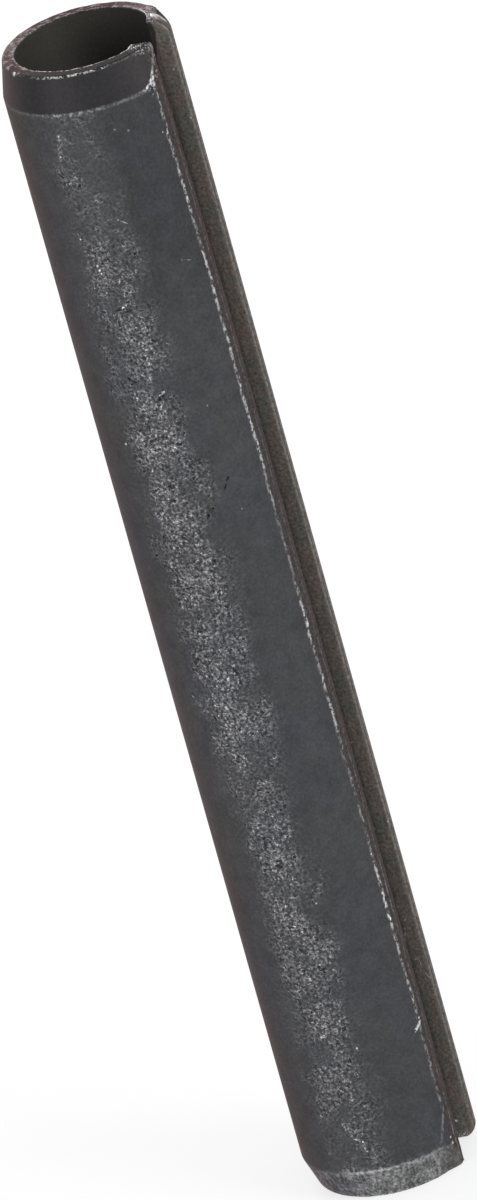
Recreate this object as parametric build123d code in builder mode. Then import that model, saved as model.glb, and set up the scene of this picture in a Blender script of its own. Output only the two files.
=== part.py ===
"""Slotted spring pin, 6 x 45 light duty: one strip of spring steel rolled into a tube with an open slot.

Millimetres. The tube's axis is Z and its lower end face lies on z = 0. The slot runs the whole length on +X.
The strip keeps one thickness all round. The rolls bend its two long edges last, so past a shoulder on each
side the wall leaves the true circle for a tighter bend, and the two slot faces stand parallel.
"""

import os
from math import asin, degrees

from build123d import *

# Tube
free_diameter = 6.4  # outside, before the pin is driven into its 6 mm hole
wall = 0.75
length = 45.0

# Slot, and the bend on each side of it
slot_width = 1.66  # between the slot faces, in the free state
shoulder_angle = 40.0  # round the tube, from the middle of the slot to where a bend starts
bend_radius = 1.92  # outside of the bend
slot_edge_break = 0.10  # rounds the outer edge of each slot face

# Tapered lead-ins, the shorter and steeper one below
top_lead_length = 1.36
top_lead_depth = 0.30  # off the radius at the end face
bottom_lead_length = 1.14
bottom_lead_depth = 0.36

# Corners of the strip, where a slot face meets an end face
corner_radius = 0.10
blunt_corner_radius = 0.30  # the one that the cut-off rolled over, below on +Y

outer_radius = free_diameter / 2
bend_centre = Vector(outer_radius - bend_radius, 0).rotate(Axis.Z, shoulder_angle)


def draw_half_face(tube_radius, edge_radius):
    """Draws one face of the half strip from the back of the tube to the slot, and returns where it ends."""
    CenterArc((0, 0), tube_radius, shoulder_angle, 180 - shoulder_angle)
    tip_angle = degrees(asin((slot_width / 2 - bend_centre.Y) / edge_radius))
    bend = CenterArc(bend_centre, edge_radius, tip_angle, shoulder_angle - tip_angle)
    return bend @ 0


with BuildPart() as spring_pin:
    # The rolled section
    with BuildSketch() as section:
        with BuildLine():
            outer_tip = draw_half_face(outer_radius, bend_radius)
            inner_tip = draw_half_face(outer_radius - wall, bend_radius - wall)
            Line(outer_tip, inner_tip)
            mirror(about=Plane.XZ)
        make_face()
        outer_slot_corners = section.vertices().sort_by(Axis.X)[-2:]
        fillet(outer_slot_corners, slot_edge_break)
    extrude(amount=length)

    # Each lead-in is a taper coaxial with the tube, so it runs out sooner on the bends beside the slot
    for end_height, inward, lead_length, lead_depth in (
        (length, -1, top_lead_length, top_lead_depth),
        (0, 1, bottom_lead_length, bottom_lead_depth),
    ):
        with BuildSketch(Plane.XZ):
            with BuildLine():
                Polyline(
                    (outer_radius - lead_depth, end_height),
                    (outer_radius + lead_depth, end_height),
                    (outer_radius + lead_depth, end_height + inward * 2 * lead_length),
                    close=True,
                )
            make_face()
        revolve(axis=Axis.Z, mode=Mode.SUBTRACT)

    # The slot seen from its open side, wider beyond each end, so that a fillet on a step rounds a strip corner
    with BuildSketch(Plane.YZ) as slot_front:
        with Locations((0, length / 2)):
            Rectangle(slot_width, length)
            with Locations((0, -length), (0, length)):
                Rectangle(slot_width + 4 * blunt_corner_radius, length)
        for side, end_height, radius in (
            (1, length, corner_radius),
            (-1, length, corner_radius),
            (1, 0, blunt_corner_radius),
            (-1, 0, corner_radius),
        ):
            step = slot_front.vertices().sort_by_distance((side * slot_width / 2, end_height))[0]
            fillet(step, radius)
    extrude(amount=outer_radius, mode=Mode.SUBTRACT)

spring_pin.part.label = "spring_pin"

os.makedirs("parts", exist_ok=True)
export_step(spring_pin.part, "parts/spring_pin.step")
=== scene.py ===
"""Looks of a slotted spring pin: one strip of spring steel, cut, broken at its edges, rolled and blackened.

Everything is in metres, in the frame of the CAD part: the tube's axis is Z, the lower end stands on z = 0 and
the slot opens towards +X. The pin is modelled the way it is made. A flat strip is cut from a cube, its corners
and edges are rounded, and then every point of it is rolled round the tube's axis.

Places on the strip have three coordinates: across, measured along its outer face from the back of the tube and
negative on the -Y side; lift, from the bore (0) to the outer face; and height above the lower end. Materials
read the same three in millimetres.
"""

import logging
from dataclasses import dataclass, field
from enum import Enum
from math import asin, cos, hypot, pi, radians, sin
from typing import Sequence, Union

import bmesh
import bpy
from mathutils import Matrix, Vector, noise


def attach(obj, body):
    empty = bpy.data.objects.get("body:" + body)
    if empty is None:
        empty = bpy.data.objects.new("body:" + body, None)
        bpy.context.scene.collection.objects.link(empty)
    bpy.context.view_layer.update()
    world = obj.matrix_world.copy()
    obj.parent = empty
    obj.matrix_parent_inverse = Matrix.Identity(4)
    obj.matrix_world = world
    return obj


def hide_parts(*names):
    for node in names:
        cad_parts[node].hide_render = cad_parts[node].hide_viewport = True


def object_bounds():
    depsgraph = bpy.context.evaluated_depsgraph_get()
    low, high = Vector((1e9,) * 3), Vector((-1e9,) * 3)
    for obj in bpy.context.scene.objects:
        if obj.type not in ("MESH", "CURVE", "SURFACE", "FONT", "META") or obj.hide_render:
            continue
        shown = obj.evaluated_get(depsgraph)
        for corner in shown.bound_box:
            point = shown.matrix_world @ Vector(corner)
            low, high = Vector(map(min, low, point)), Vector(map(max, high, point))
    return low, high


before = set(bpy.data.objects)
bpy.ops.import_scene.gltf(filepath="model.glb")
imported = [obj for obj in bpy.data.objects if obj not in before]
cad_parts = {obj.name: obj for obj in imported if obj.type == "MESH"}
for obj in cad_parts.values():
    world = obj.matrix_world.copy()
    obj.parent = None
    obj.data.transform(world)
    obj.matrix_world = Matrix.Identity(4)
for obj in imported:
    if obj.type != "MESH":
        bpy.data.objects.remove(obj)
cad_low, cad_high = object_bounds()

MM = 0.001
NODE = "spring_pin"
BODY = "root"

log = logging.getLogger("spring_pin")

Value = Union["Signal", float, Sequence[float]]
Colour = tuple[float, float, float, float]
Stops = tuple[tuple[float, float], ...]
Spot = tuple[float, ...]  # across, height and, where it isn't the outer face, lift


def add_object(name: str, data: bpy.types.ID) -> bpy.types.Object:
    """Puts a mesh, a light or a camera into the scene.

    Args:
        name: the object's name.
        data: what it shows.

    Returns:
        The new object.
    """
    made = bpy.data.objects.new(name, data)
    bpy.context.scene.collection.objects.link(made)
    return made


# ---- Shader tools ----


class Signal:
    """An output socket that takes part in Python expressions."""

    def __init__(self, graph: "ShaderGraph", socket: bpy.types.NodeSocket) -> None:
        """Wraps one output socket of a graph."""
        self.graph = graph
        self.socket = socket

    def __add__(self, other: Value) -> "Signal":
        """Gives self + other."""
        return self.graph.maths("ADD", self, other)

    def __radd__(self, other: Value) -> "Signal":
        """Gives other + self."""
        return self.graph.maths("ADD", other, self)

    def __sub__(self, other: Value) -> "Signal":
        """Gives self - other."""
        return self.graph.maths("SUBTRACT", self, other)

    def __rsub__(self, other: Value) -> "Signal":
        """Gives other - self."""
        return self.graph.maths("SUBTRACT", other, self)

    def __mul__(self, other: Value) -> "Signal":
        """Gives self * other."""
        return self.graph.maths("MULTIPLY", self, other)

    def __rmul__(self, other: Value) -> "Signal":
        """Gives other * self."""
        return self.graph.maths("MULTIPLY", other, self)

    def __truediv__(self, other: Value) -> "Signal":
        """Gives self / other."""
        return self.graph.maths("DIVIDE", self, other)

    def __abs__(self) -> "Signal":
        """Gives the size of self without its sign."""
        return self.graph.maths("ABSOLUTE", self)

    def at_most(self, other: Value) -> "Signal":
        """Gives the smaller of the two."""
        return self.graph.maths("MINIMUM", self, other)

    def at_least(self, other: Value) -> "Signal":
        """Gives the larger of the two."""
        return self.graph.maths("MAXIMUM", self, other)

    def rise(self, start: float, end: float) -> "Signal":
        """Gives a smooth step from 0 at start to 1 at end. It falls where end is below start.

        Args:
            start: where the step begins.
            end: where it ends.

        Returns:
            The step, from 0 to 1.
        """
        return self.graph.node(
            "ShaderNodeMapRange",
            {"interpolation_type": "SMOOTHSTEP"},
            {"Value": self, "From Min": start, "From Max": end, "To Min": 0.0, "To Max": 1.0},
        )

    def bump(self, centre: Value, width: float) -> "Signal":
        """Gives 1 where self is at the centre, falling to 0 at a width on either side."""
        return abs(self - centre).rise(width, 0.0)

    def profile(self, *stops: tuple[float, float]) -> "Signal":
        """Gives a value that goes straight from stop to stop. Each stop is a place and its value, up to 1.

        Args:
            stops: the stops in rising order.

        Returns:
            The value at self.
        """
        first, last = stops[0][0], stops[-1][0]
        share = (self - first) / (last - first)
        shades = [((place - first) / (last - first), (value, value, value, 1.0)) for place, value in stops]
        return self.graph.node("ShaderNodeValToRGB", {"stops": shades}, {"Fac": share})


class ShaderGraph:
    """The node tree of one material or world."""

    def __init__(self, owner: bpy.types.Material | bpy.types.World) -> None:
        """Empties the owner's tree and takes it over.

        Args:
            owner: the material or world that it shades.
        """
        owner.use_nodes = True
        self.owner = owner
        self.tree = owner.node_tree
        self.tree.nodes.clear()

    def node(
        self, kind: str, settings: dict | None = None, inputs: dict | None = None, output: int | str = 0
    ) -> Signal | None:
        """Adds a node.

        Args:
            kind: the node's type.
            settings: its properties, and "stops" for a colour ramp, set before its sockets.
            inputs: values or links, by the socket's name or index.
            output: name or index of the socket that is given back.

        Returns:
            The chosen output, or none from a node that ends the tree.
        """
        made = self.tree.nodes.new(kind)
        for name, setting in (settings or {}).items():
            if name == "stops":
                self._set_stops(made.color_ramp, setting)
            else:
                setattr(made, name, setting)
        for name, value in (inputs or {}).items():
            if isinstance(value, Signal):
                self.tree.links.new(value.socket, made.inputs[name])
            else:
                made.inputs[name].default_value = value
        return Signal(self, made.outputs[output]) if len(made.outputs) else None

    @staticmethod
    def _set_stops(ramp: bpy.types.ColorRamp, stops: Sequence[tuple[float, Colour]]) -> None:
        """Gives a colour ramp its stops.

        Args:
            ramp: the ramp, with its two stops as it is made.
            stops: positions from 0 to 1 and their colours.
        """
        while len(ramp.elements) < len(stops):
            ramp.elements.new(1.0)
        for element, (position, colour) in zip(ramp.elements, stops):
            element.position = position
            element.color = colour

    def maths(self, operation: str, *terms: Value) -> Signal:
        """Adds a Math node on one or more numbers."""
        return self.node("ShaderNodeMath", {"operation": operation}, dict(enumerate(terms)))

    def vectors(self, operation: str, *terms: Value, output: int | str = 0) -> Signal:
        """Adds a Vector Math node on one or more vectors."""
        return self.node("ShaderNodeVectorMath", {"operation": operation}, dict(enumerate(terms)), output)

    def split(self, vector: Signal) -> list[Signal]:
        """Gives the three components of a vector."""
        return [self.node("ShaderNodeSeparateXYZ", {}, {"Vector": vector}, axis) for axis in range(3)]

    def blend(self, share: Value, low: Value, high: Value, mode: str = "MIX") -> Signal:
        """Mixes two colours.

        Args:
            share: 0 gives low and 1 gives high.
            low: the colour or link below.
            high: the colour or link above.
            mode: the mix's blend type.

        Returns:
            The mixed colour.
        """
        settings = {"data_type": "RGBA", "blend_type": mode, "clamp_factor": True}
        return self.node("ShaderNodeMix", settings, {0: share, 6: low, 7: high}, output=2)


# ---- The pin ----


class End(Enum):
    """An end of the tube, by its name in heights above the lower end."""

    TOP = "top"
    BOTTOM = "bottom"

    def inward(self, height: float, pin_length: float) -> float:
        """Gives the distance of a height from this end."""
        return pin_length - height if self is End.TOP else height


def eased(value: float, start: float, stop: float) -> float:
    """Gives a smooth step from 0 at start to 1 at stop."""
    share = min(max((value - start) / (stop - start), 0.0), 1.0)
    return share * share * (3 - 2 * share)


@dataclass(frozen=True)
class LeadIn:
    """A taper, coaxial with the tube, that guides one end into its hole."""

    end: End
    length: float
    depth: float

    def cut_at(self, height: float, pin_length: float, share: float = 1.0) -> float:
        """Gives how far the taper lies inside the tube's outer radius at a height, less than none beyond its length."""
        return share * self.depth * (1 - self.end.inward(height, pin_length) / self.length)


@dataclass(frozen=True)
class Lean:
    """How far the lip on the -Y side leans into the slot's side of the bore towards one end."""

    end: End
    reach: float
    shift: float


@dataclass(frozen=True)
class LipEnd:
    """A corner of the strip, where an end of the tube meets the slot. Side is -1 on -Y and 1 on +Y."""

    end: End
    side: int
    corner_radius: float
    taper_share: float = 1.0
    fades: tuple[float, float] = (8.2 * MM, 9.15 * MM)
    outer_rounding: float = 0.0
    fullness: float = 1.3

    def taper_at(self, across: float) -> float:
        """Gives how much of its depth the taper keeps, where it runs out towards the slot."""
        return 1 - (1 - self.taper_share) * eased(abs(across), *self.fades)

    def rounded_off(self, across: float, inward: float) -> float:
        """Gives how far the rounding takes the outer face back, at a distance from the end.

        With a fullness of 1 it would be a straight cut and with 2 a quarter circle.

        Args:
            across: distance along the outer face from the back of the tube.
            inward: distance from the end.

        Returns:
            The distance, through the wall.
        """
        if inward >= self.outer_rounding:
            return 0.0
        kept = (1 - (1 - max(inward, 0.0) / self.outer_rounding) ** self.fullness) ** (1 / self.fullness)
        return self.outer_rounding * (1 - kept) * eased(abs(across), *self.fades)


@dataclass
class SpringPin:
    """The rolled strip. Lengths are in metres and angles in degrees."""

    outer_radius: float = -cad_low.x
    length: float = cad_high.z
    wall: float = 0.75 * MM
    slot_width: float = 1.66 * MM
    shoulder_angle: float = 40.0
    bend_radius: float = 1.92 * MM
    outer_edge_break: float = 0.10 * MM
    inner_edge_break: float = 0.03 * MM
    bore_edge_radius: float = 0.08 * MM
    top_lead: LeadIn = LeadIn(End.TOP, 1.36 * MM, 0.30 * MM)
    bottom_lead: LeadIn = LeadIn(End.BOTTOM, 1.14 * MM, 0.36 * MM)
    leans: tuple[Lean, ...] = (Lean(End.TOP, 11 * MM, 0.15 * MM), Lean(End.BOTTOM, 7 * MM, 0.09 * MM))
    lip_ends: tuple[LipEnd, ...] = (
        LipEnd(End.BOTTOM, -1, 0.02 * MM, 0.35),
        LipEnd(End.BOTTOM, 1, 0.30 * MM, 0.15, (7.3 * MM, 8.5 * MM), 0.42 * MM),
        LipEnd(End.TOP, -1, 0.26 * MM),
        LipEnd(End.TOP, 1, 0.22 * MM, 0.35, (7.0 * MM, 8.4 * MM), 0.60 * MM, 1.5),
    )
    lean_curve: float = 1.1
    rim_wear: float = 0.028 * MM
    rim_wear_reach: float = 0.3 * MM
    rim_wear_patch: float = 0.34 * MM
    sharp_angle: float = 50.0
    shortest_edge: float = 0.0003 * MM
    rows: int = 300
    columns: int = 112
    layers: int = 4
    row_crowding: float = 0.85
    column_crowding: float = 0.6

    @property
    def body_arc(self) -> float:
        """Half of the true circle's outer length, from the back of the tube to a shoulder."""
        return self.outer_radius * radians(180 - self.shoulder_angle)

    @property
    def bend_centre(self) -> Vector:
        """Centre of the bend on the +Y side."""
        reach = self.outer_radius - self.bend_radius
        angle = radians(self.shoulder_angle)
        return Vector((reach * cos(angle), reach * sin(angle)))

    @property
    def tip_angle(self) -> float:
        """Direction of the slot face from the bend's centre, in radians."""
        return asin((self.slot_width / 2 - self.bend_centre.y) / self.bend_radius)

    @property
    def bend_arc(self) -> float:
        """Outer length of a bend, from its shoulder to its slot face."""
        return self.bend_radius * (radians(self.shoulder_angle) - self.tip_angle)

    @property
    def half_width(self) -> float:
        """Half of the flat strip's width, from the back of the tube to a slot face."""
        return self.body_arc + self.bend_arc

    def cut_blank(self) -> bmesh.types.BMesh:
        """Cuts the flat strip: X across from the back of the tube, Y through the wall from the bore, Z up.

        Returns:
            The strip, with its corners and edges rounded and worn.
        """
        blank = bmesh.new()
        bmesh.ops.create_cube(blank, size=1.0)
        size = Vector((2 * self.half_width, self.wall, self.length))
        bmesh.ops.scale(blank, verts=blank.verts, vec=size)
        bmesh.ops.translate(blank, verts=blank.verts, vec=(0, self.wall / 2, self.length / 2))
        self._round_corners(blank)
        self._break_edges(blank)
        self._divide(blank)
        bmesh.ops.dissolve_degenerate(blank, dist=self.shortest_edge, edges=blank.edges)
        self._round_over(blank)
        self._wear_rims(blank)
        return blank

    def _round_corners(self, blank: bmesh.types.BMesh) -> None:
        """Rounds the four corners of the strip.

        Args:
            blank: the flat strip.
        """
        for lip in self.lip_ends:
            corner = [
                edge
                for edge in blank.edges
                if abs(edge.verts[0].co.y - edge.verts[1].co.y) > self.wall / 2
                and edge.calc_face_angle(0.0) > 1.0
                and edge.verts[0].co.x * lip.side > 0
                and lip.end.inward(edge.verts[0].co.z, self.length) < self.length / 2
            ]
            bmesh.ops.bevel(
                blank, geom=corner, offset=lip.corner_radius, segments=8, profile=0.5, affect="EDGES", material=-1
            )

    def _break_edges(self, blank: bmesh.types.BMesh) -> None:
        """Rounds the outline of the outer face and that of the bore's face.

        Args:
            blank: the flat strip.
        """
        for lift, size, segments in ((self.wall, self.outer_edge_break, 4), (0.0, self.inner_edge_break, 3)):
            outline = [
                edge
                for edge in blank.edges
                if all(abs(vert.co.y - lift) < self.wall / 100 for vert in edge.verts)
                and edge.calc_face_angle(0.0) > 1.0
            ]
            bmesh.ops.bevel(
                blank, geom=outline, offset=size, segments=segments, profile=0.5, affect="EDGES", material=-1
            )

    @staticmethod
    def _crowded(steps: int, crowding: float) -> list[float]:
        """Gives shares from 0 to 1, both left out, that crowd towards the two ends."""
        shares = [step / steps for step in range(1, steps)]
        return [share - crowding * sin(2 * pi * share) / (2 * pi) for share in shares]

    def _divide(self, blank: bmesh.types.BMesh) -> None:
        """Slices the strip into columns, layers and rows, closest at its edges.

        Args:
            blank: the flat strip.
        """
        across = [(2 * share - 1) * self.half_width for share in self._crowded(self.columns, self.column_crowding)]
        through = [step / self.layers * self.wall for step in range(1, self.layers)]
        up = [share * self.length for share in self._crowded(self.rows, self.row_crowding)]
        for axis, places in ((0, across), (1, through), (2, up)):
            self._slice(blank, axis, places)

    @staticmethod
    def _slice(blank: bmesh.types.BMesh, axis: int, places: Sequence[float]) -> None:
        """Cuts the mesh by planes square to an axis, in rising order, each time only what lies beyond the last.

        Args:
            blank: the flat strip.
            axis: 0 across, 1 through the wall and 2 up.
            places: where the planes cross the axis.
        """
        normal = Vector((axis == 0, axis == 1, axis == 2))
        beyond = blank.verts[:] + blank.edges[:] + blank.faces[:]
        for place in places:
            cut = bmesh.ops.bisect_plane(blank, geom=beyond, dist=1e-9, plane_co=normal * place, plane_no=normal)
            faces = [
                piece
                for piece in cut["geom"]
                if isinstance(piece, bmesh.types.BMFace) and piece.calc_center_median()[axis] > place
            ]
            verts = dict.fromkeys(vert for face in faces for vert in face.verts)
            edges = dict.fromkeys(edge for face in faces for edge in face.edges)
            beyond = [*verts, *edges, *faces]

    def _round_over(self, blank: bmesh.types.BMesh) -> None:
        """Rounds the two edges between the bore and the slot further than the rest of the outline.

        Args:
            blank: the flat strip.
        """
        radius = self.bore_edge_radius
        for vert in blank.verts:
            side = -1 if vert.co.x < 0 else 1
            away = Vector((self.half_width - abs(vert.co.x) - radius, vert.co.y - radius))
            if max(away) < 0 and away.length > radius:
                away = away * (radius / away.length)
                vert.co.x = side * (self.half_width - away.x - radius)
                vert.co.y = away.y + radius

    def _wear_rims(self, blank: bmesh.types.BMesh) -> None:
        """Takes a little off the end faces and slot faces, more in one place than in the next.

        Args:
            blank: the flat strip.
        """
        for vert in blank.verts:
            across, _, height = vert.co
            lost = self.rim_wear * max(0.0, 0.35 + 0.8 * noise.noise(vert.co / self.rim_wear_patch))
            end = min(height, self.length - height)
            edge = self.half_width - abs(across)
            vert.co.z += (1 if height < self.length / 2 else -1) * lost * eased(end, self.rim_wear_reach, 0.0)
            vert.co.x += (1 if across < 0 else -1) * lost * eased(edge, self.rim_wear_reach, 0.0)

    def _walls(self, across: float, height: float) -> tuple[Vector, Vector]:
        """Gives the inner and the outer end of the wall at a place on the strip, before the tapers are cut.

        Args:
            across: distance along the outer face from the back of the tube.
            height: distance above the lower end, which the lean of a lip depends on.

        Returns:
            The two points, mirrored to the +Y side.
        """
        run = abs(across)
        if run <= self.body_arc:
            angle = pi - run / self.outer_radius
            direction = Vector((cos(angle), sin(angle)))
            return direction * (self.outer_radius - self.wall), direction * self.outer_radius
        beyond = (run - self.body_arc) / self.bend_arc
        angle = radians(self.shoulder_angle) * (1 - beyond) + self.tip_angle * beyond
        direction = Vector((cos(angle), sin(angle)))
        ends = [self.bend_centre + direction * radius for radius in (self.bend_radius - self.wall, self.bend_radius)]
        if across < 0:
            shoulder_angle = radians(self.shoulder_angle)
            shoulder = Vector((cos(shoulder_angle), sin(shoulder_angle))) * self.outer_radius
            chord = 2 * self.bend_radius * sin(self.bend_arc / self.bend_radius / 2)
            turn = Matrix.Rotation(-self._lean_at(height) / chord * beyond * (2 - beyond), 2)
            ends = [shoulder + turn @ (end - shoulder) for end in ends]
        return ends[0], ends[1]

    def _lean_at(self, height: float) -> float:
        """Gives how far the tip of the lip on the -Y side has moved inwards at a height."""
        return sum(
            lean.shift * max(0.0, 1 - lean.end.inward(height, self.length) / lean.reach) ** self.lean_curve
            for lean in self.leans
        )

    def _taper_share(self, lead: LeadIn, across: float) -> float:
        """Gives how much of its depth a taper keeps at a place across the strip."""
        return next(lip.taper_at(across) for lip in self.lip_ends if lip.end is lead.end and lip.side * across >= 0)

    def _rounded_off(self, across: float, height: float) -> float:
        """Gives how far the rounded ends of the lips take the outer face back.

        Args:
            across: distance along the outer face from the back of the tube.
            height: distance above the lower end.

        Returns:
            The distance, through the wall.
        """
        return max(
            lip.rounded_off(across, lip.end.inward(height, self.length))
            for lip in self.lip_ends
            if lip.side * across >= 0
        )

    def place(self, across: float, lift: float, height: float) -> Vector:
        """Rolls one point of the strip.

        Args:
            across: distance along the outer face from the back of the tube.
            lift: distance from the inner face.
            height: distance above the lower end.

        Returns:
            Its place on the pin.
        """
        inside, outside = self._walls(across, height)
        cone = self.outer_radius - max(
            lead.cut_at(height, self.length, self._taper_share(lead, across))
            for lead in (self.top_lead, self.bottom_lead)
        )
        kept = 1 - self._rounded_off(across, height) / self.wall
        reach = min(kept, (cone - inside.length) / (outside.length - inside.length))
        point = inside.lerp(outside, reach * lift / self.wall)
        return Vector((point.x, point.y if across >= 0 else -point.y, height))

    def from_taper(self, lead: LeadIn, across: float, height: float) -> float:
        """Gives the distance over the outer face to a taper's upper or lower line, less than none on the taper.

        Args:
            lead: the taper.
            across: distance along the outer face from the back of the tube.
            height: distance above the lower end.

        Returns:
            The distance.
        """

        def above(side: float) -> float:
            """Gives how far the taper would pass outside the strip, in lengths of the pin."""
            cut = lead.cut_at(height, self.length, self._taper_share(lead, side))
            return (self.outer_radius - cut - self._walls(side, height)[1].length) * lead.length / lead.depth

        step = 0.01 * MM
        here = above(across)
        return here / hypot(1.0, (above(across + step) - here) / step)

    def roll(self, blank: bmesh.types.BMesh) -> None:
        """Rolls the flat strip and keeps each point's place on it as attributes, in millimetres.

        Args:
            blank: the flat strip.
        """
        strip = blank.verts.layers.float_vector.new("strip")
        tapers = blank.verts.layers.float_vector.new("tapers")
        for vert in blank.verts:
            across, lift, height = vert.co
            top, bottom = (self.from_taper(lead, across, height) for lead in (self.top_lead, self.bottom_lead))
            vert[strip] = vert.co / MM
            vert[tapers] = Vector((top, bottom, self.half_width - abs(across))) / MM
            vert.co = self.place(across, lift, height)

    def build(self) -> bpy.types.Object:
        """Makes the pin's object.

        Returns:
            The object, at the origin.
        """
        strip = self.cut_blank()
        self.roll(strip)
        bmesh.ops.recalc_face_normals(strip, faces=strip.faces)
        for face in strip.faces:
            face.smooth = True
        mesh = bpy.data.meshes.new("rolled_strip")
        strip.to_mesh(mesh)
        strip.free()
        mesh.set_sharp_from_angle(angle=radians(self.sharp_angle))
        return add_object("rolled_strip", mesh)


# ---- The finish ----


@dataclass
class Coats:
    """The looks of a surface as they are laid over each other, from the ground upwards."""

    colour: Signal
    roughness: Signal | float
    metallic: Signal | float
    contrast: Signal | float
    relief: Signal

    def cover(
        self,
        share: Signal,
        colour: Colour,
        roughness: float | None = None,
        metallic: float | None = None,
        contrast: float | None = None,
    ) -> None:
        """Lays one more finish over a share of the surface.

        Args:
            share: 1 where it hides what lies below.
            colour: its colour.
            roughness: its roughness, or none to keep what is there, as for the next two.
            metallic: how far it is metal.
            contrast: how strongly the fine grain shows in it.
        """
        self.colour = share.graph.blend(share, self.colour, colour)
        if roughness is not None:
            self.roughness = self.roughness + share * (roughness - self.roughness)
        if metallic is not None:
            self.metallic = self.metallic + share * (metallic - self.metallic)
        if contrast is not None:
            self.contrast = self.contrast + share * (contrast - self.contrast)

    def shade(self, share: Signal, factor: Colour) -> None:
        """Multiplies the colour by a factor over a share of the surface."""
        self.colour = share.graph.blend(share, self.colour, factor, "MULTIPLY")


@dataclass
class StripPlace:
    """What a shader knows of its place on the strip, in millimetres and in masks."""

    outer_face: float
    strip: Signal
    across: Signal
    lift: Signal
    height: Signal
    below_top: Signal
    above_bottom: Signal
    end_distance: Signal
    end_face: Signal
    slot_face: Signal
    bore: Signal
    outside: Signal

    @classmethod
    def read(cls, graph: ShaderGraph, pin: SpringPin) -> "StripPlace":
        """Reads the pin's attributes.

        Args:
            graph: the material's nodes.
            pin: the pin that it is for.

        Returns:
            The place, ready to be used in expressions.
        """
        strip, tapers = (
            graph.node("ShaderNodeAttribute", {"attribute_name": name}, output="Vector")
            for name in ("strip", "tapers")
        )
        across, lift, height = graph.split(strip)
        below_top, above_bottom, edge = graph.split(tapers)
        end_distance = height.at_most(pin.length / MM - height)
        end_face = end_distance.rise(0.06, 0.04)
        slot_face = edge.rise(0.07, 0.04) * (1 - end_face)
        bore = lift.rise(0.06, 0.02) * (1 - end_face) * (1 - slot_face)
        outside = lift.rise(0.60, 0.66) * (1 - end_face) * (1 - slot_face)
        return cls(
            pin.wall / MM, strip, across, lift, height, below_top, above_bottom, end_distance, end_face, slot_face,
            bore, outside,
        )

    def grain(
        self,
        size: float,
        detail: float = 2.0,
        roughness: float = 0.55,
        warp: float = 0.0,
        scale: Sequence[float] = (1, 1, 1),
        shift: Sequence[float] = (0, 0, 0),
    ) -> Signal:
        """Adds fractal noise.

        Args:
            size: length of one wave, in millimetres.
            detail: number of finer octaves.
            roughness: strength of each finer octave.
            warp: distortion.
            scale: what the place is multiplied by first, so that less than 1 draws the noise out.
            shift: what is added to it, so that no two noises agree.

        Returns:
            A value about 0.5.
        """
        node = self.strip.graph.node
        place = node("ShaderNodeMapping", {}, {"Vector": self.strip, "Scale": scale, "Location": shift})
        inputs = {"Vector": place, "Scale": 1 / size, "Detail": detail, "Roughness": roughness, "Distortion": warp}
        return node("ShaderNodeTexNoise", {}, inputs)

    def _point(self, across: float, height: float, lift: float | None = None) -> tuple[float, float, float]:
        """Gives the coordinates of a spot."""
        return across, self.outer_face if lift is None else lift, height

    def disc(self, centre: Spot, radius: float) -> Signal:
        """Gives 1 at a spot, falling to 0 at a radius from it."""
        distance = self.strip.graph.vectors("DISTANCE", self.strip, self._point(*centre), output="Value")
        return distance.rise(radius, radius * 0.35)

    def stroke(self, start: Spot, end: Spot, width: float) -> Signal:
        """Gives 1 on the straight line between two spots, falling to 0 at half a width from it.

        Args:
            start: one end of the line.
            end: its other end.
            width: how wide it is in all.

        Returns:
            The mask.
        """
        vectors = self.strip.graph.vectors
        first, last = self._point(*start), self._point(*end)
        run = [b - a for a, b in zip(first, last)]
        away = vectors("SUBTRACT", self.strip, first)
        along = vectors("DOT_PRODUCT", away, run, output="Value") / sum(part * part for part in run)
        scaled = {0: run, "Scale": along.at_least(0.0).at_most(1.0)}
        foot = self.strip.graph.node("ShaderNodeVectorMath", {"operation": "SCALE"}, scaled)
        return vectors("DISTANCE", away, foot, output="Value").rise(width / 2, width / 6)


@dataclass(frozen=True)
class Fleck:
    """A bright point: mostly metal showing through, but on the far tip a painted glint."""

    spot: Spot
    radius: float = 0.045
    strength: float = 0.8


@dataclass(frozen=True)
class Scratch:
    """A thin line from spot to spot, bright or black."""

    spots: tuple[Spot, ...]
    width: float = 0.05
    strength: float = 1.0
    bright: bool = True


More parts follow.
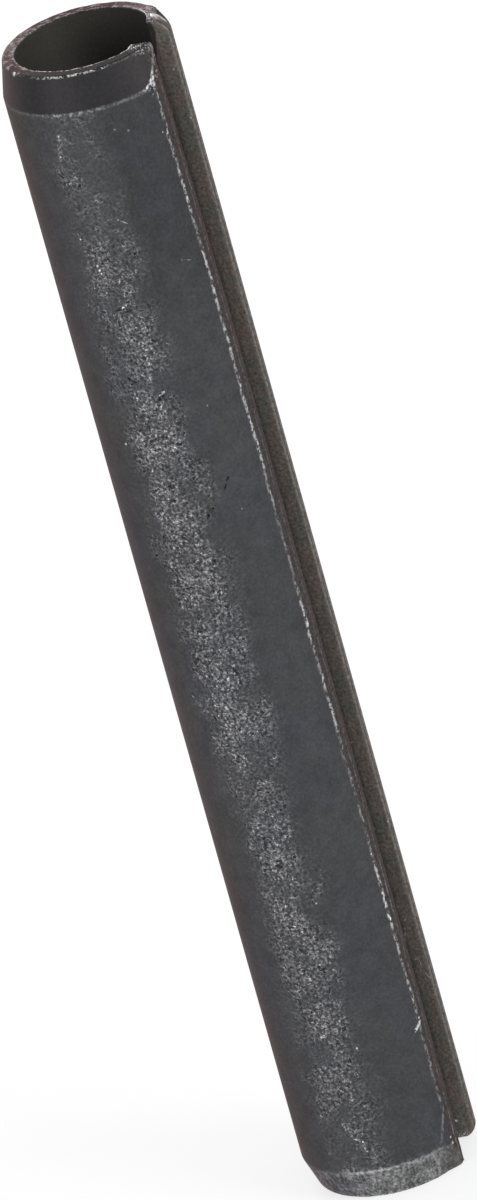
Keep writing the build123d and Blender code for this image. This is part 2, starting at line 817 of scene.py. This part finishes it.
@dataclass(frozen=True)
class BlackenedSteel:
    """Spring steel, tumbled, blackened and oiled. Colours are linear and lengths in millimetres.

    A band is its middle across the strip, its half width and its strength. Stops give a strength by height, for
    wear and the lip's turn off its edge, or by place across, for the tapers' lines and the rims. The main band, the
    lines and the rims are partly painted highlight, and some colours paint shade and sheen on the tapers and slot.
    """

    charcoal: Colour = (0.058, 0.060, 0.064, 1.0)
    blue_black: Colour = (0.057, 0.061, 0.069, 1.0)
    olive_black: Colour = (0.059, 0.062, 0.060, 1.0)
    # These three colour rubbed metal and metal showing through, and also painted highlights: the main band, the lines
    # of the tapers and lip, the rims and the far tip's glints.
    worn_and_lit_grey: Colour = (0.125, 0.125, 0.132, 1.0)
    bare_and_sheen: Colour = (0.33, 0.33, 0.35, 1.0)
    bright: Colour = (0.62, 0.62, 0.64, 1.0)
    pit: Colour = (0.016, 0.016, 0.018, 1.0)
    # upper taper: a smoother finish, darkened further as painted shade
    turned_and_shaded: Colour = (0.030, 0.029, 0.031, 1.0)
    # lower taper: ground, and lighter in part as painted light
    ground_and_lit_taper: Colour = (0.225, 0.226, 0.228, 1.0)
    olive_taper: Colour = (0.130, 0.123, 0.114, 1.0)
    lip_brown: Colour = (0.054, 0.050, 0.046, 1.0)
    sheared: Colour = (0.136, 0.114, 0.102, 1.0)
    sheared_green: Colour = (0.104, 0.108, 0.094, 1.0)
    # painted sheen along the outer edges of the slot faces
    sheared_sheen: Colour = (0.125, 0.130, 0.118, 1.0)
    # painted sheen on the outer bend of the lip on the +Y side
    far_lip_sheen: Colour = (0.086, 0.088, 0.080, 1.0)
    end_black: Colour = (0.015, 0.021, 0.021, 1.0)
    end_mauve: Colour = (0.044, 0.032, 0.032, 1.0)
    end_pale: Colour = (0.120, 0.102, 0.102, 1.0)
    bore_black: Colour = (0.046, 0.045, 0.040, 1.0)
    edge_tint: Colour = (0.64, 0.51, 0.50, 1.0)
    roughness: float = 0.52
    metallic: float = 0.9
    contrast: float = 1.3
    grain_size: float = 0.11
    grain_relief: float = 0.004
    mottle_relief: float = 0.01
    main_band: float = -4.87
    faint_bands: tuple[tuple[float, float, float], ...] = ((1.1, 1.3, 0.6), (5.6, 1.6, 0.75))
    lip_line: float = -8.50
    outer_line: float = -8.81
    far_line: float = 8.88
    far_face: float = 9.152
    # strength of the main band by height: wear, and a painted highlight
    main_wear_and_sheen: Stops = (
        (0.0, 0.0), (1.2, 0.45), (3.0, 0.6), (5.0, 0.75), (10.0, 0.95), (12.0, 0.9), (16.0, 0.75), (19.0, 0.95),
        (22.0, 1.0), (34.0, 1.0), (37.0, 0.6), (41.2, 0.5), (42.2, 0.22), (43.5, 0.35), (43.9, 0.0),
    )
    faint_wear: Stops = ((0.0, 0.0), (1.2, 0.5), (20.0, 0.9), (40.0, 0.6), (43.6, 0.3), (43.9, 0.0))
    # strength of the painted highlight along the tapers' lines, by place across
    top_line: Stops = (
        (-9.2, 1.0), (-7.9, 1.0), (-7.6, 0.25), (-6.4, 0.2), (-5.9, 0.6), (-4.4, 0.6), (-3.9, 0.1), (-3.0, 0.0),
    )
    bottom_line: Stops = (
        (-9.1, 0.4), (-8.2, 0.30), (-7.6, 0.28), (-6.2, 0.55), (-4.4, 0.70), (-3.9, 0.12), (-3.0, 0.03),
    )
    lip_turn_off: Stops = (
        (0.0, 0.56), (1.4, 0.50), (2.4, 0.02), (16.0, 0.02), (20.0, 0.06), (38.0, 0.06), (41.0, 0.14), (44.0, 0.14),
    )
    # strength of the lip's two lines by height, here and below: wear and painted highlight
    lip_line_wear_and_sheen: Stops = (
        (1.3, 0.0), (1.6, 0.40), (5.5, 0.40), (7.0, 0.50), (9.8, 0.50), (10.2, 0.90), (12.2, 0.80), (12.8, 0.28),
        (17.5, 0.32), (18.5, 0.70), (20.4, 0.70), (20.9, 0.30), (22.1, 0.90), (23.2, 0.70), (24.0, 0.20),
        (26.5, 0.35), (28.0, 0.40), (29.2, 0.70), (34.0, 0.75), (38.0, 0.70), (42.0, 0.75), (43.2, 0.95),
        (44.0, 1.0), (44.3, 0.0),
    )
    outer_line_wear_and_sheen: Stops = (
        (0.0, 0.0), (0.3, 0.7), (1.6, 0.7), (2.4, 0.3), (9.5, 0.25), (11.0, 0.55), (12.3, 0.55), (12.8, 0.25),
        (44.0, 0.3),
    )
    # strength of the rims' bright lines by place across, here and below: wear and painted highlight
    inner_rim: Stops = (
        (-9.2, 0.6), (-8.2, 0.6), (-7.4, 0.4), (-6.0, 0.6), (-3.8, 0.6), (-3.0, 0.4), (-1.0, 0.25), (6.0, 0.2),
        (9.0, 0.4),
    )
    outer_rim: Stops = (
        (-9.2, 0.1), (-7.0, 0.05), (-6.6, 0.75), (-5.4, 0.8), (-4.8, 0.5), (-4.0, 0.45), (-3.6, 0.1), (9.2, 0.15),
    )
    flecks: tuple[Fleck, ...] = (
        Fleck((-6.39, 42.70), 0.05, 0.2),
        Fleck((-6.85, 42.50), 0.06, 0.25),
        Fleck((-8.12, 41.87), 0.04),
        Fleck((-4.35, 42.80), 0.05),
        Fleck((-4.20, 42.00), 0.05),
        Fleck((-6.92, 31.62), 0.04, 0.3),
        Fleck((-3.51, 30.63), 0.06, 1.0),
        Fleck((-7.12, 27.43), 0.04, 0.3),
        Fleck((-5.00, 21.20), 0.08),
        Fleck((-8.45, 12.90), 0.06),
        Fleck((-8.56, 6.18), 0.06),
        Fleck((-8.28, 5.88), 0.08, 1.0),
        Fleck((-8.42, 5.93), 0.07, 1.0),
        Fleck((-8.505, 1.32), 0.06),
        Fleck((-8.53, 1.08), 0.08),
        Fleck((-4.45, 37.70), 0.06),
        Fleck((-4.48, 37.52), 0.06),
        Fleck((-4.07, 38.77), 0.05),
        Fleck((-5.88, 12.00), 0.05),
        Fleck((-4.89, 9.05), 0.07),
        Fleck((-5.55, 7.30), 0.05, 0.6),
        Fleck((-5.88, 6.10), 0.06),
        Fleck((-4.60, 3.20), 0.05, 0.5),
        Fleck((-2.57, 44.95), 0.12, 0.9),
        # painted glints on the rounded far tip
        Fleck((8.52, 44.97, 0.68), 0.28, 1.0),
        Fleck((8.63, 44.74), 0.15, 1.0),
        Fleck((far_face, 43.00, 0.52), 0.05),
        Fleck((far_face, 41.08, 0.65), 0.05),
        Fleck((far_face, 31.84, 0.16), 0.04),
        Fleck((far_face, 32.05, 0.65), 0.04, 0.6),
        Fleck((far_face, 16.20, 0.16), 0.04, 0.6),
        Fleck((far_face, 12.93, 0.70), 0.05, 0.6),
        Fleck((far_face, 7.77, 0.43), 0.04),
        Fleck((far_face, 0.77, 0.16), 0.07, 1.0),
    )
    scratches: tuple[Scratch, ...] = (
        Scratch(((-7.80, 37.00), (-7.45, 37.15)), 0.04, 0.35),
        Scratch(((-5.29, 39.43), (-5.64, 39.37), (-5.94, 39.14)), 0.06, 0.35),
        Scratch(((-4.36, 42.80), (-4.20, 41.90)), 0.30, 0.22),
        Scratch(((-8.56, 6.02), (-8.21, 5.85)), 0.18, 1.0),
        Scratch(((-4.60, 3.15), (-4.85, 2.65)), 0.12, 0.3),
        Scratch(((-4.90, 2.55), (-5.15, 2.45), (-5.22, 2.05)), 0.14, 0.5),
        Scratch(((-4.44, 33.28), (-4.52, 33.07), (-4.66, 33.10)), 0.16, bright=False),
        Scratch(((-5.32, 32.34), (-5.52, 32.40)), 0.18, bright=False),
        Scratch(((-5.38, 32.50), (-5.60, 32.60)), 0.12, 0.9),
        Scratch(((-4.98, 35.84), (-5.22, 35.92)), 0.15, bright=False),
        Scratch(((-4.94, 36.02), (-5.20, 36.10)), 0.11, 0.8),
        Scratch(((-6.95, 28.76), (-6.69, 28.36)), 0.12, bright=False),
        Scratch(((-6.53, 29.93), (-6.08, 29.76)), 0.11, 0.9, bright=False),
        Scratch(((-6.21, 27.90), (-5.80, 27.44)), 0.14, bright=False),
        Scratch(
            ((far_face, 9.20, 0.49), (far_face, 8.98, 0.32), (far_face, 8.48, 0.20), (far_face, 8.10, 0.07)),
            0.06,
            0.4,
        ),
        Scratch(
            (
                (far_face, 7.37, 0.30), (far_face, 7.39, 0.43), (far_face, 6.97, 0.48), (far_face, 6.67, 0.58),
                (far_face, 6.50, 0.72),
            ),
            0.05,
            0.6,
        ),
    )

    def make(self, pin: SpringPin) -> bpy.types.Material:
        """Makes the material for a pin of given sizes.

        Args:
            pin: the pin.

        Returns:
            The material.
        """
        graph = ShaderGraph(bpy.data.materials.new("blackened_steel"))
        place = StripPlace.read(graph, pin)
        coats = self._ground(place)
        self._wear_bands(place, coats)
        self._top_taper(place, coats)
        self._bottom_taper(place, coats)
        self._lip(place, coats)
        self._cut_faces(place, coats)
        self._rims(place, coats)
        self._marks(place, coats)
        grain = place.grain(self.grain_size, roughness=0.6, warp=0.35) - 0.5
        colour = graph.blend(1.0, coats.colour, graph.maths("POWER", 2.0, grain * coats.contrast), "MULTIPLY")
        relief = coats.relief + grain * coats.contrast * self.grain_relief
        normal = graph.node("ShaderNodeBump", {}, {"Strength": 1.0, "Distance": MM, "Height": relief})
        surface = graph.node(
            "ShaderNodeBsdfPrincipled",
            {},
            {
                "Base Color": colour,
                "Metallic": coats.metallic,
                "Roughness": coats.roughness,
                "Specular Tint": self.edge_tint,
                "Normal": normal,
            },
        )
        graph.node("ShaderNodeOutputMaterial", {}, {"Surface": surface})
        return graph.owner

    def _ground(self, place: StripPlace) -> Coats:
        """Makes the blackened skin: charcoal that drifts to blue and olive.

        Args:
            place: the place on the strip.

        Returns:
            The coats, with only the skin laid.
        """
        blend = place.strip.graph.blend
        drift = place.grain(4.5)
        other = place.grain(2.2, scale=(1.0, 1.0, 0.7), shift=(31.0, 0.0, 7.0))
        colour = blend(drift.rise(0.42, 0.64), self.charcoal, self.blue_black)
        colour = blend(other.rise(0.48, 0.66) * 0.5, colour, self.olive_black)
        mottle = place.grain(0.55, detail=1.5, shift=(0.0, 5.0, 11.0)) - 0.5
        colour = blend(1.0, colour, 1.0 + mottle * 0.5, "MULTIPLY")
        upper_side = place.across.rise(-5.6, -6.6) * place.height.rise(34.5, 38.0)
        colour = blend(upper_side, colour, (0.85, 0.85, 0.85, 1.0), "MULTIPLY")
        return Coats(
            colour,
            self.roughness + (drift - 0.5) * 0.12,
            self.metallic,
            self.contrast,
            mottle * self.mottle_relief,
        )

    def _wear_bands(self, place: StripPlace, coats: Coats) -> None:
        """Rubs the skin through along the pin: grains of metal rubbed clean between pits that stay black. The main band
        is wear and also a painted highlight down the pin's length.

        Args:
            place: the place on the strip.
            coats: what is laid so far.
        """
        border = (place.grain(1.5, detail=4.0, roughness=0.65) - 0.5) * 2.1
        near = place.across + border
        elsewhere = place.height.profile(*self.faint_wear)
        # the main band: wear, painted brighter as the lengthwise highlight that a lamp would lay there
        band = abs(near - self.main_band).rise(1.8, 0.2) * place.height.profile(*self.main_wear_and_sheen)
        for middle, half_width, strength in self.faint_bands:
            band = band.at_least(near.bump(middle, half_width) * elsewhere * strength)
        patches = place.grain(0.9, scale=(1, 1, 0.8), shift=(3.0, 0.0, 2.0))
        band = band * place.outside * (0.32 + patches.rise(0.38, 0.58) * 0.68)
        coats.cover(band * 0.62, self.worn_and_lit_grey, roughness=0.45, contrast=8.0)
        coats.contrast = coats.contrast + band.rise(0.0, 0.6) * 4.0
        grains = place.grain(self.grain_size, roughness=0.6, shift=(9.0, 3.0, 5.0))
        speckled = band.rise(0.03, 0.46)
        coats.cover((grains + band * 0.06).rise(0.65, 0.73) * speckled * 0.65, self.bare_and_sheen, roughness=0.36)
        coats.cover(grains.rise(0.36, 0.30) * speckled * 0.6, self.pit)
        strokes = place.grain(0.27, detail=1.0, warp=0.7, shift=(4.0, 8.0, 1.0)) - 0.5
        coats.cover(abs(strokes).rise(0.026, 0.008) * speckled * 0.42, self.pit)
        craters = place.grain(0.30, detail=1.0, warp=0.5, shift=(2.0, 6.0, 8.0))
        craters = craters + place.height.rise(14.0, 4.0) * 0.03
        coats.cover(craters.bump(0.365, 0.025) * speckled * 0.5, self.bare_and_sheen, roughness=0.4)
        coats.cover(craters.rise(0.345, 0.295) * speckled * 0.7, self.pit)

    def _top_taper(self, place: StripPlace, coats: Coats) -> None:
        """Turns the upper taper: smooth, and darker in part as painted shade, with a thin line where it begins, worn
        and painted as a highlight.

        Args:
            place: the place on the strip.
            coats: what is laid so far.
        """
        fine = place.grain(0.11, roughness=0.6)
        on_taper = place.below_top.rise(0.02, -0.05)
        # the taper's colour, darker in part as painted shade
        coats.cover(on_taper, self.turned_and_shaded, roughness=0.55, contrast=1.0)
        coats.shade(on_taper * place.across.rise(-7.2, -8.2), (1.3, 1.28, 1.2, 1.0))
        # painted sheen: the taper lighter round the back of the tube
        coats.shade(on_taper * place.across.bump(-1.0, 2.8), (3.0, 2.8, 2.8, 1.0))
        # the taper's line and the ridge by the lip: worn, and painted bright as highlights
        line = place.below_top.bump(0.03, 0.11)
        coats.cover(line * (0.35 + fine.rise(0.40, 0.62) * 0.35), self.worn_and_lit_grey)
        lit = place.across.profile(*self.top_line)
        coats.cover(line * lit * fine.rise(0.46, 0.62) * 0.7, self.bare_and_sheen, roughness=0.38)
        ridge = place.below_top.bump(0.0, 0.09) * place.across.rise(-7.75, -8.0)
        coats.cover(ridge * (0.15 + fine.rise(0.40, 0.54)), self.bright, roughness=0.34)
        corner = place.below_top.rise(0.03, 0.08) * place.below_top.rise(0.42, 0.25) * place.across.rise(-7.95, -8.2)
        corner = corner * place.outside
        coats.cover(corner * fine.rise(0.44, 0.38) * 0.8, self.pit)
        coats.cover(corner * fine.rise(0.54, 0.62) * 0.9, self.bright, roughness=0.36)

    def _bottom_taper(self, place: StripPlace, coats: Coats) -> None:
        """Grinds the lower taper: lighter, in part as painted light, and speckled, but smooth and olive beside the slot
        on the -Y side.

        Args:
            place: the place on the strip.
            coats: what is laid so far.
        """
        fine = place.grain(0.14, roughness=0.6)
        on_taper = place.above_bottom.rise(0.04, -0.06)
        speckled = (place.across + (fine - 0.5) * 0.8).rise(-8.6, -7.5)
        coats.cover(on_taper * (1 - speckled), self.olive_taper, roughness=0.46, contrast=2.0)
        # the ground taper, lighter in part as painted light
        coats.cover(on_taper * speckled, self.ground_and_lit_taper, roughness=0.48, contrast=5.0)
        streaks = place.grain(0.10, scale=(1.0, 1.0, 0.3), shift=(7.0, 0.0, 2.0))
        coats.shade(on_taper * speckled * streaks.rise(0.52, 0.40), (0.62, 0.64, 0.66, 1.0))
        coats.cover(on_taper * speckled * streaks.rise(0.56, 0.66) * 0.35, self.bare_and_sheen)
        worn = place.grain(0.7, scale=(1.0, 1.0, 1.6), shift=(6.0, 0.0, 4.0))
        coats.shade(on_taper * worn.rise(0.52, 0.40), (0.66, 0.68, 0.66, 1.0))
        coats.shade(on_taper * place.across.rise(-5.4, -3.4), (0.58, 0.61, 0.67, 1.0))
        # painted highlight along the taper's line, with a softer painted glow round it
        line = place.above_bottom.bump(0.05, 0.10) * (0.30 + fine.rise(0.42, 0.56) * 0.70)
        lit = place.across.profile(*self.bottom_line)
        coats.cover(line * lit, self.bright, roughness=0.4)
        halo = abs(place.above_bottom - 0.04).rise(0.30, 0.0) * fine.rise(0.44, 0.60)
        coats.cover(halo * lit * 0.5, self.bare_and_sheen, roughness=0.42)

    def _lip(self, place: StripPlace, coats: Coats) -> None:
        """Draws the beaded lines along the lip on the -Y side, worn metal and painted highlight, and a fainter one on
        the other lip, whose outer bend is given a painted sheen.

        Args:
            place: the place on the strip.
            coats: what is laid so far.
        """
        beads = place.grain(0.15, roughness=0.65, scale=(1.0, 1.0, 0.7))
        drift = (place.grain(0.7, detail=3.0, scale=(0.2, 0.2, 1.0)) - 0.5) * 0.20
        turn_off = place.height.profile(*self.lip_turn_off)
        strength = place.height.profile(*self.lip_line_wear_and_sheen)
        lip = place.across.rise(-8.40, -8.52) * place.outside * (1 - place.above_bottom.rise(0.05, -0.05))
        coats.cover(lip * 0.75, self.lip_brown, contrast=4.0)
        lengths = place.grain(1.1, scale=(0.3, 0.3, 1.0))
        # the lip's line: worn metal, painted bright as the highlight along its crease
        line = (place.across + drift - turn_off).bump(self.lip_line, 0.12) * strength
        line = line * (0.5 + lengths.rise(0.40, 0.56) * 0.5)
        line = line * place.outside * place.below_top.rise(-0.02, 0.06)
        coats.cover(line * (0.04 + beads.rise(0.45, 0.55) * 1.1), self.bright, roughness=0.34)
        # the line along the lip's outer edge: wear and painted highlight
        outer = (place.across + drift).bump(self.outer_line, 0.06) * place.height.profile(*self.outer_line_wear_and_sheen)
        outer = outer * place.outside
        coats.cover(outer * (0.2 + beads.rise(0.44, 0.60) * 0.8), self.bare_and_sheen)
        # painted sheen: the outer bend of the lip on the +Y side made lighter
        coats.cover(place.across.rise(8.35, 8.6) * place.outside, self.far_lip_sheen, contrast=4.0)
        far = (place.across + drift).bump(self.far_line, 0.10) * place.outside
        coats.cover(far * beads.rise(0.44, 0.58) * 0.7, self.bare_and_sheen, roughness=0.38)

    def _cut_faces(self, place: StripPlace, coats: Coats) -> None:
        """Finishes the sheared slot faces, the end faces and the bore. The slot faces carry painted shade deep in the
        slot and at the top of the far lip's inner edge, and a painted sheen along their outer edges.

        Args:
            place: the place on the strip.
            coats: what is laid so far.
        """
        patch = place.grain(0.8, detail=3.0, roughness=0.6)
        fine = place.grain(0.10, roughness=0.6)
        coats.cover(place.slot_face, self.sheared, roughness=0.6, metallic=0.3, contrast=3.0)
        coats.cover(place.slot_face * patch.rise(0.46, 0.60) * 0.8, self.sheared_green)
        # painted shade on the slot faces near the bore, deep in the slot
        coats.shade(place.slot_face * place.lift.bump(0.16, 0.12), (0.82, 0.84, 0.86, 1.0))
        # painted shade: towards the top the far lip's inner edge on the slot face is darker
        painted_edge_shade = (place.lift - (place.height - 43.6) * 0.2).rise(0.10, 0.03) * place.height.rise(43.2, 43.9)
        coats.shade(place.slot_face * painted_edge_shade * place.across.rise(0.0, 8.0), (0.27, 0.25, 0.28, 1.0))
        # painted sheen along the outer edges of the slot faces
        coats.cover(place.slot_face * place.lift.rise(0.60, 0.70) * fine.rise(0.38, 0.58) * 0.6, self.sheared_sheen)
        coats.cover(place.end_face, self.end_black, roughness=0.6, metallic=0.8, contrast=3.0)
        coats.cover(place.end_face * place.across.rise(-4.6, -1.5), self.end_mauve)
        pale = place.across.bump(0.2, 2.4).at_least(place.across.rise(5.6, 7.0))
        coats.cover(place.end_face * pale * 0.8, self.end_pale)
        coats.cover(place.bore, self.bore_black, roughness=0.6, metallic=0.6, contrast=1.0)

    def _rims(self, place: StripPlace, coats: Coats) -> None:
        """Makes the inner and outer edges of the end faces bright in places, as wear and painted highlight, and paints
        glints on the far tip.

        Args:
            place: the place on the strip.
            coats: what is laid so far.
        """
        fine = place.grain(0.12, roughness=0.6)
        near_end = place.end_distance.rise(0.12, 0.05)
        inner = near_end * place.lift.bump(0.07, 0.08)
        outer = near_end * place.lift.rise(0.68, 0.72)
        # the rims' bright lines: wear and painted highlight
        inner_lit = place.across.profile(*self.inner_rim)
        outer_lit = place.across.profile(*self.outer_rim)
        coats.cover(inner * inner_lit * fine.rise(0.42, 0.54), self.bright, roughness=0.4, metallic=self.metallic)
        coats.cover(outer * outer_lit * fine.rise(0.45, 0.58), self.bright, roughness=0.42, metallic=self.metallic)
        small = place.grain(0.075, roughness=0.6, shift=(5.0, 1.0, 3.0))
        tip = place.across.rise(-7.9, -8.5) * place.height.rise(44.66, 44.90)
        coats.cover(tip * small.rise(0.40, 0.32) * 0.8, self.pit)
        coats.cover(tip * small.rise(0.56, 0.64) * 0.7, self.bright, roughness=0.36, metallic=self.metallic)
        # painted glints on the far tip
        far_tip = place.across.rise(7.2, 8.2) * place.height.rise(44.85, 44.95)
        coats.cover(far_tip * small.rise(0.56, 0.64) * 0.8, self.bright, roughness=0.36, metallic=self.metallic)
        scuffs = place.grain(0.30, detail=3.0, roughness=0.65, shift=(2.0, 9.0, 6.0))
        back_rim = place.end_face * place.across.rise(-3.6, -2.6)
        coats.cover(back_rim * scuffs.rise(0.53, 0.62) * 0.5, self.bare_and_sheen)
        coats.cover(back_rim * scuffs.rise(0.46, 0.38) * 0.7, self.pit)
        foot = place.across.rise(8.0, 8.6) * place.height.rise(0.40, 0.12)
        coats.cover(foot * small.rise(0.52, 0.60) * 0.7, self.bright, roughness=0.4)

    def _marks(self, place: StripPlace, coats: Coats) -> None:
        """Adds single flecks and scratches.

        Args:
            place: the place on the strip.
            coats: what is laid so far.
        """
        ragged = place.grain(0.09).rise(0.44, 0.56)
        for fleck in self.flecks:
            disc = place.disc(fleck.spot, fleck.radius)
            coats.cover(disc * fleck.strength, self.bright, roughness=0.33, metallic=self.metallic)
        for scratch in self.scratches:
            for start, end in zip(scratch.spots, scratch.spots[1:]):
                line = place.stroke(start, end, scratch.width)
                coats.cover(line * ragged * scratch.strength, self.bright if scratch.bright else self.pit)


# ---- The studio ----


@dataclass(frozen=True)
class Lamp:
    """A soft box that faces the middle of the pin."""

    name: str
    azimuth: float
    elevation: float
    distance: float
    width: float
    height: float
    power: float


@dataclass
class Studio:
    """Floor, light and camera. Lengths are in metres and angles in degrees; azimuth 0 stands on -Y."""

    target: Vector = field(default_factory=lambda: Vector((0, 0, cad_high.z / 2)))
    camera_azimuth: float = 20.105
    camera_elevation: float = 24.180
    camera_roll: float = -15.649
    camera_distance: float = 0.760
    aim_right: float = -0.0741 * MM
    aim_up: float = 0.1803 * MM
    focal_length: float = 645.5
    floor_radius: float = 3.0
    lamps: tuple[Lamp, ...] = (
        Lamp("key", azimuth=-27, elevation=8, distance=0.5, width=0.16, height=0.3, power=0.8),
        Lamp("fill", azimuth=72, elevation=28, distance=0.6, width=0.3, height=0.3, power=2.0),
        Lamp("back", azimuth=215, elevation=30, distance=0.6, width=0.3, height=0.3, power=1.5),
    )

    @staticmethod
    def _towards(azimuth: float, elevation: float) -> Vector:
        """Gives the direction from the pin to a place on the sphere round it."""
        a, e = radians(azimuth), radians(elevation)
        return Vector((sin(a) * cos(e), -cos(a) * cos(e), sin(e)))

    def add_camera(self) -> None:
        """Sets up the camera, with the pin leaning to the left in its frame."""
        back = self._towards(self.camera_azimuth, self.camera_elevation)
        turn = (-back).to_track_quat("-Z", "Y").to_matrix() @ Matrix.Rotation(radians(self.camera_roll), 3, "Z")
        data = bpy.data.cameras.new("camera")
        data.sensor_width = 36.0
        data.lens = self.focal_length
        data.clip_start = 0.01
        data.clip_end = 10.0
        camera = add_object("camera", data)
        aim = self.target + turn @ Vector((self.aim_right, self.aim_up, 0))
        camera.matrix_world = Matrix.Translation(aim + back * self.camera_distance) @ turn.to_4x4()
        bpy.context.scene.camera = camera

    def add_lamps(self) -> None:
        """Hangs the soft boxes."""
        for lamp in self.lamps:
            light = bpy.data.lights.new(lamp.name, "AREA")
            light.shape = "RECTANGLE"
            light.size = lamp.width
            light.size_y = lamp.height
            light.energy = lamp.power
            away = self._towards(lamp.azimuth, lamp.elevation)
            facing = (-away).to_track_quat("-Z", "Y").to_matrix().to_4x4()
            holder = add_object(lamp.name, light)
            holder.matrix_world = Matrix.Translation(self.target + away * lamp.distance) @ facing

    def add_floor(self) -> None:
        """Lays the pale floor."""
        disc = bmesh.new()
        bmesh.ops.create_circle(disc, cap_ends=True, segments=96, radius=self.floor_radius)
        mesh = bpy.data.meshes.new("floor")
        disc.to_mesh(mesh)
        disc.free()
        material = bpy.data.materials.new("white_paper")
        graph = ShaderGraph(material)
        paper = graph.node("ShaderNodeBsdfDiffuse", {}, {"Color": (0.9, 0.9, 0.9, 1.0)})
        white = graph.node("ShaderNodeEmission", {}, {"Color": (1.0, 1.0, 1.0, 1.0), "Strength": 1.0})
        surface = graph.node("ShaderNodeMixShader", {}, {0: self._seen(graph) * 0.7, 1: paper, 2: white})
        graph.node("ShaderNodeOutputMaterial", {}, {"Surface": surface})
        mesh.materials.append(material)
        floor = add_object("floor", mesh)

    @staticmethod
    def _seen(graph: ShaderGraph) -> Signal:
        """Gives 1 for what the camera sees, straight or in a gloss, and 0 for what lights the pin."""
        camera, glossy, through = (
            graph.node("ShaderNodeLightPath", output=name)
            for name in ("Is Camera Ray", "Is Glossy Ray", "Is Transmission Ray")
        )
        return camera.at_least(glossy).at_least(through)

    def add_sky(self) -> None:
        """Surrounds the set with even light, seen as white."""
        world = bpy.data.worlds.new("studio")
        bpy.context.scene.world = world
        graph = ShaderGraph(world)
        strength = 0.75 + self._seen(graph) * 0.25
        sky = graph.node("ShaderNodeBackground", {}, {"Color": (1.0, 1.0, 1.0, 1.0), "Strength": strength})
        graph.node("ShaderNodeOutputWorld", {}, {"Surface": sky})

    def build(self) -> None:
        """Sets up the whole studio."""
        self.add_camera()
        self.add_lamps()
        self.add_floor()
        self.add_sky()
        bpy.context.scene.view_settings.view_transform = "Standard"


def main() -> None:
    """Builds the pin and the studio round it."""
    logging.basicConfig(level=logging.INFO, format="%(message)s")
    pin = SpringPin()
    piece = pin.build()
    log.info("rolled strip: %d faces, %.1f mm wide when flat", len(piece.data.polygons), 2 * pin.half_width / MM)
    piece.data.materials.append(BlackenedSteel().make(pin))
    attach(piece, BODY)
    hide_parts(NODE)
    Studio().build()


if __name__ == "__main__":
    main()
